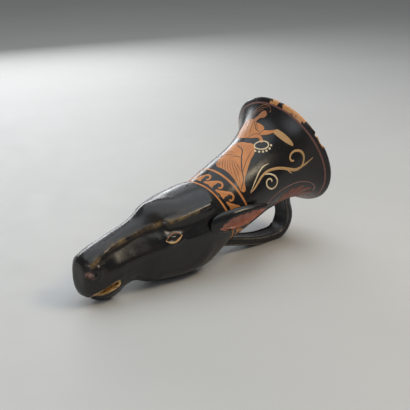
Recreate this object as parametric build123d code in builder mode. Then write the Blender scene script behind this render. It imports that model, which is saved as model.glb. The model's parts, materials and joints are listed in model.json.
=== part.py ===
"""Animal-head rhyton: a drinking cup whose lower end is a moulded head with long ears.

The pot is built up from separate clay pieces: two press-moulded half heads that meet in the
mirror plane, a thrown bowl lapped into their neck, a strap handle, two ears and two strips of
clay pressed over the mould seam from inside. Millimetres, +Z up, mirror plane Y = 0.
The pot lies on a table, on its chin and on its handle, with the nose towards -X.
Lengths along the head are counted forwards from the neck joint, heights from the table.
"""
import os
from math import cos, radians, sin, tan
from typing import NamedTuple

from build123d import *

# Bowl, thrown on the wheel
rim_diameter = 97.0
foot_diameter = 54.0
waist_diameter = 57.0
flare_diameter = 72.0
bowl_height = 89.0        # from the neck joint to the rim, along the bowl's axis
waist_height = 28.0
flare_height = 72.0       # where the wall turns out to the rim
bowl_wall = 4.0
bowl_tilt = 21.8          # degrees that the bowl's axis rises towards the rim
lip_height = 2.4          # turned lip below the rim
lip_step = 0.6            # how far the lip stands out from the bowl
rim_rounding = 1.2

# Neck joint between the head and the bowl
neck_height = 40.8        # centre of the joint above the table
tenon_depth = 6.0         # how far the bowl laps into the head
tenon_wall = 3.4
socket_wall = 4.0         # wall of the head left round the tenon
slip_gap = 0.1            # thickness of the clay slip between two joined pieces
bowl_slip_gap = 0.25      # the same where an ear or the handle lies on the bowl

# Head, pressed in a mould of two halves
head_wall = 6.0
round_fullness = 0.5523   # the fullness that makes a quarter circle


class Station(NamedTuple):
    """One section of the head."""

    spacing: float        # distance in front of the section behind it
    top: float            # heights above the table
    bottom: float
    half_width: float
    widest: float         # height of the widest place
    crown: float          # fullness of the upper curve, more is squarer
    jaw: float            # fullness of the lower curve


neck = Station(
    spacing=0,
    top=neck_height + foot_diameter / 2,
    bottom=neck_height - foot_diameter / 2,
    half_width=foot_diameter / 2,
    widest=neck_height,
    crown=round_fullness,
    jaw=round_fullness,
)
nape = Station(spacing=7.0, top=66.8, bottom=10.4, half_width=27.1, widest=39.8, crown=0.55, jaw=0.58)
throat = Station(spacing=9.0, top=65.2, bottom=5.8, half_width=27.4, widest=38.0, crown=0.56, jaw=0.66)
jowl = Station(spacing=17.0, top=61.5, bottom=0.8, half_width=27.0, widest=36.0, crown=0.58, jaw=0.72)
brow = Station(spacing=18.0, top=57.0, bottom=1.2, half_width=25.0, widest=37.0, crown=0.58, jaw=0.68)
cheekbone = Station(spacing=20.0, top=51.5, bottom=4.5, half_width=21.0, widest=32.0, crown=0.58, jaw=0.62)
bridge = Station(spacing=16.0, top=47.0, bottom=5.5, half_width=17.0, widest=27.0, crown=0.60, jaw=0.56)
chin = Station(spacing=13.5, top=43.2, bottom=0.1, half_width=15.5, widest=24.0, crown=0.60, jaw=0.60)
upper_lip = Station(spacing=11.0, top=40.4, bottom=2.0, half_width=14.2, widest=24.0, crown=0.60, jaw=0.60)
nostrils = Station(spacing=7.5, top=37.0, bottom=6.0, half_width=11.4, widest=24.5, crown=0.62, jaw=0.68)
nose_tip = Station(spacing=3.5, top=32.0, bottom=13.0, half_width=6.6, widest=24.0, crown=0.64, jaw=0.66)
stations = [neck, nape, throat, jowl, brow, cheekbone, bridge, chin, upper_lip, nostrils, nose_tip]


def ahead(station):
    """Distance of a section in front of the neck joint."""
    return sum(behind.spacing for behind in stations[: stations.index(station) + 1])


# Forelock, a raised tuft from between the ears to the brow
forelock_front = ahead(brow) + 13.0
forelock_back = ahead(throat) + 2.0
forelock_rise = 4.8       # step near its front end
forelock_curl = 10.0      # length of its rounded front
forelock_half_width = 12.0

# Eyes, and the ridges above them
eye_ahead = ahead(brow) + 4.2
eye_height = 39.9
eye_length = 11.8
eye_opening = 6.2
eye_slope = 7.0           # degrees that the inner corner drops
lid_width = 1.4
ridge_front = ahead(brow) + 7.0
ridge_back = ahead(jowl) - 10.0
ridge_low = 49.5          # heights of its two ends
ridge_high = 54.5
ridge_width = 3.6
ridge_arch = 1.0          # how far it bows up between its ends
face_relief = 1.4         # how far lids and ridges stand out

# Nostrils and mouth
nostril_ahead = ahead(nostrils) - 0.7
nostril_height = 25.6
nostril_length = 7.0
nostril_width = 4.8
nostril_slope = 35.0
nostril_depth = 3.0
septum_half_width = 2.6   # clay left between the two nostrils
mouth_corner = ahead(chin) - 3.5
mouth_corner_height = 16.4
mouth_front = ahead(upper_lip) + 4.0
mouth_front_height = 8.6
mouth_opening = 5.6       # at the middle of the slit
lip_front = ahead(upper_lip) + 1.0   # front of the lower lip
lip_rounding = 12.0       # length over which the lower lip rounds to its front
lip_parting = 9.8         # height of the upper lip over the front of the lower one
lip_hang = 7.0            # height of the upper lip at its own front
tongue_half_width = 5.0   # solid core left between the two sides of the mouth

# Ears
ear_ahead = ahead(jowl) - 6.0        # root, in front of the neck joint
ear_root_height = 35.5
ear_sink = 7.0            # how deep the root's middle lies in the side of the throat
ear_bow = 2.2             # how far its middle bows outwards
ear_reach = 28.5          # tip, behind the neck joint
ear_tip_height = 45.5
ear_stand_off = 6.4       # of the tip from the bowl's waist
ear_half_width = 9.4
ear_half_thickness = 5.0
ear_hollow_offset = 3.4   # how far out the hollow's middle lies
ear_wall = 1.6            # clay left behind the hollow
ear_droop = 14.0          # degrees that the hollow faces down

# Strap handle
strap_width = 17.0
strap_thickness = 6.0
strap_edge = 1.9          # length of the rounded edge
strap_hollow = 0.5        # how far the faces dish between the edges
strap_root_ahead = 2.0    # lower end, inside the throat
strap_root_rise = 3.0     # of that end above the underside of the neck
strap_overhang = 14.0     # corner of the loop behind the upper end
strap_rest = 38.0         # stretch along the table, between corners
strap_below_rim = 17.5    # upper end, below the rim along the bowl's axis
strap_sink = 8.0          # how far the upper end runs in before the bowl trims it
table_radius = 90.0       # gentle bend at the table
loop_radius = 15.0        # bend at the back of the loop
root_length = 14.0        # stretch over which an end spreads
root_width = 23.8         # of a spread end

# Clay strips over the mould seam, inside
strip_half_width = 5.0
strip_thickness = 2.4
strip_front = ahead(bridge) - 9.0
strip_back = ahead(throat) + 6.0

neck_radius = foot_diameter / 2
rim_radius = rim_diameter / 2
tilt = radians(bowl_tilt)
bowl_axis = Vector(cos(tilt), 0, sin(tilt))
bowl_under = Vector(sin(tilt), 0, -cos(tilt))
neck_centre = Vector(0, 0, neck_height)
bowl_plane = Plane(origin=neck_centre, x_dir=-bowl_under, z_dir=(0, 1, 0))
socket_plane = Plane(origin=neck_centre, z_dir=-bowl_axis)
tenon_radius = neck_radius - socket_wall - slip_gap
tenon_inside = tenon_radius - tenon_wall
beyond = 2 * ahead(nose_tip)   # longer than any cut needs


def station_plane(distance):
    """Section plane of the head, local x to the left and local y up; it leans back near the neck."""
    lean = tilt * max(0, 1 - distance / ahead(brow))
    origin = (neck_height * sin(lean) - distance, 0, neck_height * (1 - cos(lean)))
    return Plane(origin=origin, x_dir=(0, -1, 0), z_dir=(-cos(lean), 0, -sin(lean)))


def half_form(grow, front=nose_tip):
    """Left half of the head's form, from the neck forwards to one section, grown outwards."""
    with BuildPart() as form:
        for station in stations[: stations.index(front) + 1]:
            top = station.top + grow
            bottom = station.bottom - grow
            side = station.half_width + grow
            middle = station.widest
            reach = ahead(station) + (grow if station is nose_tip else 0)
            with BuildSketch(station_plane(reach)):
                with BuildLine():
                    upper = Bezier(
                        (0, top),
                        (station.crown * side, top),
                        (side, middle + station.crown * (top - middle)),
                        (side, middle),
                    )
                    lower = Bezier(
                        (side, middle),
                        (side, middle - station.jaw * (middle - bottom)),
                        (station.jaw * side, bottom),
                        (0, bottom),
                    )
                    Line(lower @ 1, upper @ 0)
                make_face()
        loft()
    return form.part


def bowl_outline(grow):
    """Points of the bowl's outside, as radius and height above the neck joint."""
    return [
        (neck_radius + grow, 0),
        (waist_diameter / 2 + grow, waist_height),
        (flare_diameter / 2 + grow, flare_height),
        (rim_radius - lip_step + grow, bowl_height - lip_height),
    ]


half_head = half_form(0)
half_seat = half_form(slip_gap)
other_seat = mirror(half_seat, about=Plane.XZ)
half_relief = half_form(face_relief)
half_cavity = half_form(-head_wall, front=bridge)
half_core = half_form(-head_wall - strip_thickness, front=bridge)

# Bowl: turned outside and inside, with a lip at the rim and a tenon below the foot
with BuildPart() as bowl:
    with BuildSketch(bowl_plane) as profile:
        with BuildLine():
            outside = Spline(*bowl_outline(0))
            inside = Spline(
                (tenon_inside, 0),
                *bowl_outline(-bowl_wall)[1:3],
                (rim_radius - lip_step - bowl_wall, bowl_height),
            )
            Polyline(
                outside @ 1,
                (rim_radius, bowl_height - lip_height + lip_step),
                (rim_radius, bowl_height),
                inside @ 1,
            )
            Polyline(
                inside @ 0,
                (tenon_inside, -tenon_depth),
                (tenon_radius, -tenon_depth),
                (tenon_radius, 0),
                outside @ 0,
            )
        make_face()
        fillet(profile.vertices().sort_by(Axis.Y)[-2:], rim_rounding)
    revolve(axis=Axis(neck_centre, bowl_axis))


def bowl_form(grow):
    """Solid form of the bowl's outside below its lip, grown outwards."""
    with BuildPart() as form:
        with BuildSketch(bowl_plane):
            with BuildLine():
                skin = Spline(*bowl_outline(grow))
                Polyline(skin @ 1, (0, bowl_height - lip_height), (0, 0), skin @ 0)
            make_face()
        revolve(axis=Axis(neck_centre, bowl_axis))
    return form.part


bowl_seat = bowl_form(bowl_slip_gap)

# Forelock: oval sections whose shares of the rise and the width give its rounded front
with BuildPart() as forelock:
    forelock_middle = (forelock_front + forelock_back) / 2
    for distance, rise, width in (
        (forelock_front, 0.5, 0.5),
        (forelock_front - 0.4 * forelock_curl, 1.0, 0.75),
        (forelock_front - forelock_curl, 1.0, 0.95),
        (forelock_middle, 0.5, 1.0),
        (forelock_back, 0.0, 1.0),
    ):
        crown_line = brow.top + (jowl.top - brow.top) * (ahead(brow) - distance) / brow.spacing
        half = width * forelock_half_width
        section_origin = (-distance, 0, crown_line - half)
        with BuildSketch(Plane(origin=section_origin, x_dir=(0, -1, 0), z_dir=(-1, 0, 0))):
            Ellipse(half, half + rise * forelock_rise)
    loft()


def almond(length, opening):
    """Pointed oval of two arcs, for an eye."""
    with BuildSketch() as oval:
        with BuildLine():
            ThreePointArc((-length / 2, 0), (0, opening / 2), (length / 2, 0))
            ThreePointArc((length / 2, 0), (0, -opening / 2), (-length / 2, 0))
        make_face()
    return oval.sketch


# Lids round each eye and a ridge above it, as high as the relief form allows
lid_length = eye_length + 2 * lid_width * eye_length / eye_opening
with BuildPart() as face_marks:
    with BuildSketch(Plane.XZ):
        with Locations(Location((-eye_ahead, eye_height), -eye_slope)):
            add(almond(lid_length, eye_opening + 2 * lid_width))
            add(almond(eye_length, eye_opening), mode=Mode.SUBTRACT)
        with BuildLine():
            front_end = (-ridge_front, ridge_low)
            back_end = (-ridge_back, ridge_high)
            ridge_middle = -(ridge_front + ridge_back) / 2
            lower_edge = (ridge_low + ridge_high) / 2 + ridge_arch - ridge_width / 2
            ThreePointArc(front_end, (ridge_middle, lower_edge + ridge_width), back_end)
            ThreePointArc(back_end, (ridge_middle, lower_edge), front_end)
        make_face()
    extrude(amount=beyond)
    add(half_relief, mode=Mode.INTERSECT)

with BuildPart() as nostril:
    with BuildSketch(Plane.XZ.offset(septum_half_width)):
        with Locations(Location((-nostril_ahead, nostril_height), nostril_slope)):
            Ellipse(nostril_length / 2, nostril_width / 2)
    extrude(amount=beyond)
    add(half_form(-nostril_depth), mode=Mode.SUBTRACT)

# Mouth: a slit on each side of the tongue
with BuildPart() as mouth:
    with BuildSketch(Plane.XZ.offset(tongue_half_width)):
        with BuildLine():
            corner = (-mouth_corner, mouth_corner_height)
            front = (-mouth_front, mouth_front_height)
            SagittaArc(corner, front, mouth_opening / 2)
            SagittaArc(front, corner, mouth_opening / 2)
        make_face()
    extrude(amount=beyond)

# Lower lip: set back from the upper one, which hangs over it, and rounded to its front
with BuildPart() as lower_lip_cut:
    with BuildSketch(Plane.XZ):
        with BuildLine():
            Polyline(
                (-mouth_corner, -beyond),
                (-mouth_corner, lip_parting),
                (-lip_front, lip_parting),
                (-ahead(nostrils), lip_hang),
                (-beyond, lip_hang),
                (-beyond, -beyond),
                close=True,
            )
        make_face()
    extrude(amount=beyond)
    with BuildSketch(Plane.XY.offset(-beyond)):
        with BuildLine():
            lip_side = upper_lip.half_width
            lip_curve = Bezier(
                (-lip_front, 0),
                (-lip_front, -round_fullness * lip_side),
                (round_fullness * lip_rounding - lip_front, -lip_side),
                (lip_rounding - lip_front, -lip_side),
            )
            Polyline(
                lip_curve @ 1,
                (lip_rounding - lip_front, -beyond),
                (-beyond, -beyond),
                (-beyond, 0),
                lip_curve @ 0,
            )
        make_face()
    extrude(amount=2 * beyond, mode=Mode.INTERSECT)

with BuildPart() as head_left_half:
    add(half_head)
    add(forelock.part)
    split(bisect_by=Plane.XZ)
    add(face_marks.part)
    add(nostril.part, mode=Mode.SUBTRACT)
    add(mouth.part, mode=Mode.SUBTRACT)
    add(lower_lip_cut.part, mode=Mode.SUBTRACT)
    add(half_cavity, mode=Mode.SUBTRACT)
    with BuildSketch(socket_plane):
        Circle(tenon_radius + slip_gap)
    extrude(amount=tenon_depth + slip_gap, mode=Mode.SUBTRACT)

with BuildPart() as head_right_half:
    mirror(head_left_half.part, about=Plane.XZ)

# Ear: a hollow pointed leaf, trimmed to the head and the bowl that it lies on
ear_root = Vector(-ear_ahead, ear_sink - throat.half_width, ear_root_height)
ear_tip = Vector(ear_reach, -waist_diameter / 2 - ear_stand_off, ear_tip_height)
ear_line = ear_tip - ear_root
ear_across = ear_line.cross(Vector(0, -1, -tan(radians(ear_droop)))).normalized()
ear_outward = ear_across.cross(ear_line).normalized()


def ear_leaf(outward, sections):
    """Loft of ellipses along the ear, given as shares of its length, width and thickness."""
    with BuildPart() as leaf:
        for length_share, width_share, thickness_share in sections:
            bow = 4 * ear_bow * length_share * (1 - length_share)
            centre = ear_root + ear_line * length_share + ear_outward * (outward + bow)
            with BuildSketch(Plane(origin=centre, x_dir=ear_across, z_dir=ear_line)):
                Ellipse(width_share * ear_half_width, thickness_share * ear_half_thickness)
        loft()
    return leaf.part


outer_leaf = [(0, 0.6, 0.9), (0.22, 0.9, 1.0), (0.5, 1.0, 1.0), (0.78, 0.66, 0.8), (1.0, 0.12, 0.25)]
hollow_leaf = [(0.26, 0.12, 0.3), (0.4, 0.6, 0.72), (0.6, 0.62, 0.72), (0.8, 0.4, 0.55), (0.95, 0.1, 0.2)]

with BuildPart() as ear_hollow:
    add(ear_leaf(ear_hollow_offset, hollow_leaf))
    add(half_form(ear_wall), mode=Mode.SUBTRACT)
    add(bowl_form(ear_wall + bowl_slip_gap), mode=Mode.SUBTRACT)

with BuildPart() as left_ear:
    add(ear_leaf(0, outer_leaf))
    add(ear_hollow.part, mode=Mode.SUBTRACT)
    add(half_seat, mode=Mode.SUBTRACT)
    add(bowl_seat, mode=Mode.SUBTRACT)

with BuildPart() as right_ear:
    mirror(left_ear.part, about=Plane.XZ)


def strap_section(path, place, width):
    """Section of the strap square to its path: dished faces between two rounded edges."""
    half = width / 2
    thick = strap_thickness / 2
    with BuildSketch(Plane(origin=path @ place, x_dir=(0, 1, 0), z_dir=path % place)) as section:
        with BuildLine():
            face = ThreePointArc(
                (strap_edge - half, thick),
                (0, thick - strap_hollow),
                (half - strap_edge, thick),
            )
            edge = ThreePointArc(
                (half - strap_edge, thick),
                (half, 0),
                (half - strap_edge, -thick),
            )
            mirror(face, about=Plane.XZ)
            mirror(edge, about=Plane.YZ)
        make_face()
    return section.sketch


# Handle: a strap from the throat along the table and up to the bowl below its rim
strap_end_radius = flare_diameter / 2 - strap_sink
strap_top = neck_centre + bowl_axis * (bowl_height - strap_below_rim) + bowl_under * strap_end_radius
strap_corner = strap_top.X + strap_overhang
with BuildPart() as strap_handle:
    with BuildLine(Plane.XZ):
        strap_path = FilletPolyline(
            (-strap_root_ahead, neck.bottom + strap_root_rise),
            (strap_corner - strap_rest, strap_thickness / 2),
            (strap_corner, strap_thickness / 2),
            (strap_top.X, strap_top.Z),
            radius=[table_radius, loop_radius],
        )
    add(strap_section(strap_path, 0, strap_width))
    sweep()
    root_share = root_length / strap_path.length
    for end, inner in ((0, root_share), (1, 1 - root_share)):
        add(strap_section(strap_path, end, root_width))
        add(strap_section(strap_path, inner, strap_width))
        loft()
    add(half_seat, mode=Mode.SUBTRACT)
    add(other_seat, mode=Mode.SUBTRACT)
    add(bowl_seat, mode=Mode.SUBTRACT)


def seam_strip(lowest, highest):
    """Lining of the cavity along the mirror plane, between two heights."""
    with BuildPart() as strip:
        add(half_cavity)
        add(half_core, mode=Mode.SUBTRACT)
        with BuildSketch(Plane.XZ):
            with BuildLine():
                Polyline(
                    (-strip_front, lowest),
                    (-strip_back, lowest),
                    (-strip_back, highest),
                    (-strip_front, highest),
                    close=True,
                )
            make_face()
        extrude(amount=strip_half_width, mode=Mode.INTERSECT)
        mirror(about=Plane.XZ)
    return strip.part


# Strips of clay over the mould seam, along the crown and along the throat
mid_height = (brow.top + brow.bottom) / 2
with BuildPart() as crown_seam_strip:
    add(seam_strip(mid_height, beyond))
with BuildPart() as throat_seam_strip:
    add(seam_strip(-beyond, mid_height))

# The finished pot stands with the middle of its box's underside at the origin
pieces = {
    "head_left_half": head_left_half,
    "head_right_half": head_right_half,
    "bowl": bowl,
    "strap_handle": strap_handle,
    "left_ear": left_ear,
    "right_ear": right_ear,
    "crown_seam_strip": crown_seam_strip,
    "throat_seam_strip": throat_seam_strip,
}
pot_box = Compound([piece.part for piece in pieces.values()]).bounding_box()
standing = Location((-pot_box.center().X, 0, -pot_box.min.Z))

os.makedirs("parts", exist_ok=True)
for name, piece in pieces.items():
    piece.part.label = name
    export_step(piece.part.moved(standing), f"parts/{name}.step")
print(f"neck joint at {standing.position}, size {pot_box.size}")
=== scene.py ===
import json
from math import atan2, cos, pi, radians, sin, tan

import bpy
import numpy as np
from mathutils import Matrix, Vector, noise
from mathutils.geometry import delaunay_2d_cdt


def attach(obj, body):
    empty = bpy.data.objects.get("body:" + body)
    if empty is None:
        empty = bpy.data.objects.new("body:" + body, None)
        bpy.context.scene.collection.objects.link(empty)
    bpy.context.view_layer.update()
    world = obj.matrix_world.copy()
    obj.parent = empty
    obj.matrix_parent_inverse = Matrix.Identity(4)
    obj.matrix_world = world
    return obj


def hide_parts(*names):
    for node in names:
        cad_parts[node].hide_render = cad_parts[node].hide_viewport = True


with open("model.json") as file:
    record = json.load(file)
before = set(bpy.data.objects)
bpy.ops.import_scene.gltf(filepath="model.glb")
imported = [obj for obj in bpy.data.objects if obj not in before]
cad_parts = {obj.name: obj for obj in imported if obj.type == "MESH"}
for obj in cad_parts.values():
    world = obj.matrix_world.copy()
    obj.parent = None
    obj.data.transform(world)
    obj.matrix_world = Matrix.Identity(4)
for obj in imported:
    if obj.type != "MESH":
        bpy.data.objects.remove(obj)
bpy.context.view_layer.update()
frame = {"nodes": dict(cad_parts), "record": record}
nodes = frame["nodes"]
mm = 0.001
sides = {"left": -1, "right": 1}   # way out from the mirror plane
print("frame loaded", len(nodes), "nodes")

# camera in front of the nose and a little above it
view = {
    "azimuth": -42.3,
    "elevation": 20.05,
    "distance": 0.7,
    "target": (0.0068, 0, 0.0462),
    "lens": 80.65,
    "sensor": 36,
    "clipStart": 0.02,
}


def aimAlong(thing, way):
    thing.rotation_mode = "QUATERNION"
    thing.rotation_quaternion = way.to_track_quat("-Z", "Y")


def placeCamera():
    turn = radians(view["azimuth"])
    rise = radians(view["elevation"])
    back = Vector((sin(turn) * cos(rise), -cos(turn) * cos(rise), sin(rise)))
    bpy.ops.object.camera_add(location=Vector(view["target"]) + view["distance"] * back)
    camera = bpy.context.object
    aimAlong(camera, -back)
    camera.data.lens = view["lens"]
    camera.data.sensor_width = view["sensor"]
    camera.data.clip_start = view["clipStart"]
    bpy.context.scene.camera = camera


placeCamera()
print("camera placed")

# helpers for working as in the viewport
mergeGaps = {"fine": 1e-6, "ring": 5e-6, "mirror": 2e-5}
smoothAngles = {"clay": 80, "bowl": 50, "stroke": 60, "shape": 40}   # degrees


def pickOnly(piece):
    bpy.ops.object.select_all(action="DESELECT")
    piece.select_set(True)
    bpy.context.view_layer.objects.active = piece


def linkPiece(name, data):
    piece = bpy.data.objects.new(name, data)
    bpy.context.collection.objects.link(piece)
    pickOnly(piece)
    return piece


def newMesh(name, points, faces):
    mesh = bpy.data.meshes.new(name)
    mesh.from_pydata(points, [], faces)
    return linkPiece(name, mesh)


def applyModifier(piece, kind, **settings):
    pickOnly(piece)
    modifier = piece.modifiers.new(kind, kind)
    for key, value in settings.items():
        setattr(modifier, key, value)
    bpy.ops.object.modifier_apply(modifier=modifier.name)


def editAll():
    bpy.ops.object.mode_set(mode="EDIT")
    bpy.ops.mesh.select_all(action="SELECT")


def editDone():
    bpy.ops.object.mode_set(mode="OBJECT")


def cleanMesh(piece, mergeDistance=mergeGaps["fine"]):
    pickOnly(piece)
    editAll()
    bpy.ops.mesh.remove_doubles(threshold=mergeDistance)
    bpy.ops.mesh.delete_loose()
    bpy.ops.mesh.select_all(action="SELECT")
    bpy.ops.mesh.normals_make_consistent(inside=False)
    editDone()


def keepPiece(piece, kind, slot, finish, *replaced):
    pickOnly(piece)
    bpy.ops.object.shade_smooth_by_angle(angle=radians(smoothAngles[kind]))
    piece.data.materials.clear()
    piece.data.materials.append(finish)
    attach(piece, "root")
    if replaced:
        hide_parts(*replaced)


# strokes are lists of points, each with its radius last
def bezierMesh(name, strokes, steps, depth=0.0, bevel=0, closed=False):
    curve = bpy.data.curves.new(name, "CURVE")
    curve.dimensions = "3D"
    curve.bevel_depth = depth
    curve.bevel_resolution = bevel
    curve.resolution_u = steps
    curve.use_fill_caps = depth > 0
    for points in strokes:
        spline = curve.splines.new("BEZIER")
        spline.use_cyclic_u = closed
        spline.bezier_points.add(len(points) - 1)
        for knot, (*place, radius) in zip(spline.bezier_points, points):
            knot.co = place
            knot.radius = radius
            knot.handle_left_type = knot.handle_right_type = "AUTO"
    linkPiece(name, curve)
    bpy.ops.object.convert(target="MESH")
    return bpy.context.object


# each material is a node tree on Object coordinates
class Finish:
    def __init__(self, name):
        self.material = bpy.data.materials.new(name)
        self.material.use_nodes = True
        self.tree = self.material.node_tree
        self.shader = self.tree.nodes["Principled BSDF"]
        self.place = self.add("ShaderNodeTexCoord").outputs["Object"]

    def feed(self, socket, value):
        if isinstance(value, bpy.types.NodeSocket):
            self.tree.links.new(value, socket)
        elif socket.type == "RGBA":
            socket.default_value = (*colours.get(value, value), 1)   # a name or a plain colour
        else:
            socket.default_value = value

    def add(self, kind, settings=None, values=(), **inputs):
        node = self.tree.nodes.new(kind)
        for key, value in (settings or {}).items():
            setattr(node, key, value)
        for socket, value in zip(node.inputs, values):
            self.feed(socket, value)
        for key, value in inputs.items():
            self.feed(node.inputs[key.replace("_", " ")], value)
        return node

    def cloud(self, scale, detail, stretch=(1, 1, 1), turn=(0, 0, 0), roughness=0.55):
        spot = self.add("ShaderNodeMapping", Vector=self.place, Scale=stretch, Rotation=turn).outputs[0]
        node = self.add("ShaderNodeTexNoise", Vector=spot, Scale=scale, Detail=detail, Roughness=roughness)
        return node.outputs["Fac"]

    def step(self, value, low, high, atLow=0.0, atHigh=1.0):
        ends = {"From_Min": low, "From_Max": high, "To_Min": atLow, "To_Max": atHigh}
        return self.add("ShaderNodeMapRange", Value=value, **ends).outputs[0]

    def patches(self, scale, detail, *ends, **mapping):
        return self.step(self.cloud(scale, detail, **mapping), *ends)

    def maths(self, operation, first, second=0.0):
        return self.add("ShaderNodeMath", {"operation": operation}, (first, second)).outputs[0]

    def times(self, first, second):
        return self.maths("MULTIPLY", first, second)

    def plus(self, first, second):
        return self.maths("ADD", first, second)

    def along(self, direction, origin):
        gap = self.add("ShaderNodeVectorMath", {"operation": "SUBTRACT"}, (self.place, origin)).outputs[0]
        dot = self.add("ShaderNodeVectorMath", {"operation": "DOT_PRODUCT"}, (gap, direction))
        return dot.outputs["Value"]

    def mix(self, amount, first, second):
        node = self.add("ShaderNodeMix", {"data_type": "RGBA"})
        ends = [socket for socket in node.inputs if socket.type == "RGBA"]
        for socket, value in zip((node.inputs[0], *ends), (amount, first, second)):
            self.feed(socket, value)
        return next(socket for socket in node.outputs if socket.type == "RGBA")

    def attribute(self, name):
        return self.add("ShaderNodeAttribute", {"attribute_name": name}).outputs["Fac"]

    def finishWith(self, colour, roughness, bump=None, bumpDepth=0.0002, bumpStrength=0.4, gloss=0.5):
        self.feed(self.shader.inputs["Base Color"], colour)
        self.feed(self.shader.inputs["Roughness"], roughness)
        if bump is not None:
            node = self.add("ShaderNodeBump", Height=bump, Distance=bumpDepth, Strength=bumpStrength)
            self.feed(self.shader.inputs["Normal"], node.outputs[0])
        self.feed(self.shader.inputs["Specular IOR Level"], gloss)
        return self.material


colours = {
    "slipBlack": (0.0042, 0.0042, 0.0050),
    "slipBrown": (0.0115, 0.0072, 0.0055),
    "slipRust": (0.040, 0.017, 0.009),
    "clayOrange": (0.62, 0.235, 0.062),
    "clayDeep": (0.40, 0.125, 0.034),
    "clayPale": (0.72, 0.39, 0.17),
    "clayRed": (0.33, 0.10, 0.05),
    "clayPink": (0.48, 0.26, 0.22),
    "clayDull": (0.46, 0.20, 0.09),
    "tan": (0.50, 0.30, 0.13),
    "cream": (0.78, 0.66, 0.44),
    "redBrown": (0.20, 0.05, 0.028),
    "pinkBrown": (0.34, 0.17, 0.14),
    "purpleBrown": (0.20, 0.09, 0.075),
    "gold": (0.60, 0.38, 0.15),
    # grey for the handle's corners: partly wear, partly a painted highlight
    "rubAndHighlightGrey": (0.26, 0.24, 0.225),
    "earClay": (0.44, 0.17, 0.12),
}

# a patch is noise scale, detail, where it starts and is full, and the values there
slipLook = {
    "broad": (22, 3, 0.42, 0.68),
    "thin": (160, 5, 0.56, 0.78),
    "thinShare": 0.35,
    "chips": (380, 2, 0.775, 0.785),
    "chipShare": 0.45,
    "scratch": (90, 3, 0.66, 0.7),
    "scratchRun": {"stretch": (1, 9, 9), "turn": (0.3, 0.5, 0.2)},
    "scratchRough": 0.2,
    "scratchDepth": -0.35,
    "rough": (70, 5, 0.3, 0.75, 0.2, 0.4),
    "grain": (260, 5),
}


def slipFinish(name):
    finish = Finish(name)
    colour = finish.mix(finish.patches(*slipLook["broad"]), "slipBlack", "slipBrown")
    thin = finish.times(finish.patches(*slipLook["thin"]), slipLook["thinShare"])
    colour = finish.mix(thin, colour, "slipRust")
    chips = finish.times(finish.patches(*slipLook["chips"]), slipLook["chipShare"])
    colour = finish.mix(chips, colour, "clayPale")
    scratch = finish.patches(*slipLook["scratch"], **slipLook["scratchRun"])
    worn = finish.times(scratch, slipLook["scratchRough"])
    roughness = finish.plus(finish.patches(*slipLook["rough"]), worn)
    grain = finish.plus(finish.cloud(*slipLook["grain"]), finish.times(scratch, slipLook["scratchDepth"]))
    return finish, colour, roughness, grain


def plainSlip(name):
    finish, *layers = slipFinish(name)
    return finish.finishWith(*layers)


headLook = {
    "nostril": (300, 4, 0.35, 0.55),
    "lip": (200, 4, 0.5, 0.68),
    "lipStretch": (1, 3, 3),
    "lipEdge": (0.08, 0.25),
    # noise and share for the gold painted highlight along the crests
    "rub": (120, 4, 0.4, 0.62),
    "highlightAndRubShare": 0.3,
}


def headSlip():
    finish, colour, *coat = slipFinish("headBlackSlip")
    pink = finish.times(finish.attribute("nostrilWear"), finish.patches(*headLook["nostril"]))
    colour = finish.mix(pink, colour, "clayPink")
    streak = finish.patches(*headLook["lip"], stretch=headLook["lipStretch"])
    bare = finish.mix(streak, "gold", "slipRust")
    colour = finish.mix(finish.step(finish.attribute("lipWear"), *headLook["lipEdge"]), colour, bare)
    # gold along the brow and nose crests is a painted highlight
    rub = finish.times(finish.attribute("crestRub"), finish.patches(*headLook["rub"]))
    colour = finish.mix(finish.times(rub, headLook["highlightAndRubShare"]), colour, "gold")
    return finish.finishWith(colour, *coat)


paintLook = {
    "drift": (120, 4, 0.35, 0.65),
    "fleck": (700, 3, 0.66, 0.72),
    "fleckShare": 0.45,
    "rough": (300, 4, 0.3, 0.7),
    "roughSpread": (-0.1, 0.12),
    "grain": (600, 4),
    "bump": (0.0001, 0.3),
}


def paintFinish(name, main, second, rough, spread=0.5):
    finish = Finish(name)
    drift = finish.times(finish.patches(*paintLook["drift"]), spread)
    colour = finish.mix(drift, main, second)
    fleck = finish.times(finish.patches(*paintLook["fleck"]), paintLook["fleckShare"])
    colour = finish.mix(fleck, colour, "slipBrown")
    roughness = finish.patches(*paintLook["rough"], *(rough + spare for spare in paintLook["roughSpread"]))
    return finish.finishWith(colour, roughness, finish.cloud(*paintLook["grain"]), *paintLook["bump"])


# the bowl's own frame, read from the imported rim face
bowlShape = {
    "height": 89 * mm,
    "rimMiddle": 46.2 * mm,
    # mm up, mm out, slope
    "outside": ((0, 27, 0.14), (28, 28.5, 0.018), (72, 36, 0.47), (86.6, 47.9, 1.22)),
    "inside": ((0, 19.5, 0.3), (28, 24.5, 0.09), (72, 32, 0.42), (88, 43, 0.98)),
    "tenon": (22.9, 19.5, -6),
    "lip": ((48.5, 87.3), (48.5, 87.8), (48.15, 88.65), (47.3, 89), (45.1, 89), (44, 88.65)),
    "steps": 288,
    "rows": 14,
}
rimFace = next(mount for mount in frame["record"]["mounts"] if mount["name"] == "rim_face")
bowlAxis = Vector(rimFace["axis"])
bowlTop = Vector((-bowlAxis.z, 0, bowlAxis.x))
seenSide = Vector((0, -1, 0))
neckCentre = Vector(rimFace["pos_m"]) - bowlShape["rimMiddle"] * bowlTop - bowlShape["height"] * bowlAxis


def wallRadius(knots, height):
    low, high = knots[0], knots[-1]
    for first, second in zip(knots, knots[1:]):
        if height >= first[0]:
            low, high = first, second
    span = high[0] - low[0]
    t = min(max((height - low[0]) / span, 0), 1)
    ends = (2 * t**3 - 3 * t**2 + 1) * low[1] + (3 * t**2 - 2 * t**3) * high[1]
    return ends + (t**3 - 2 * t**2 + t) * span * low[2] + (t**3 - t**2) * span * high[2]


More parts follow.
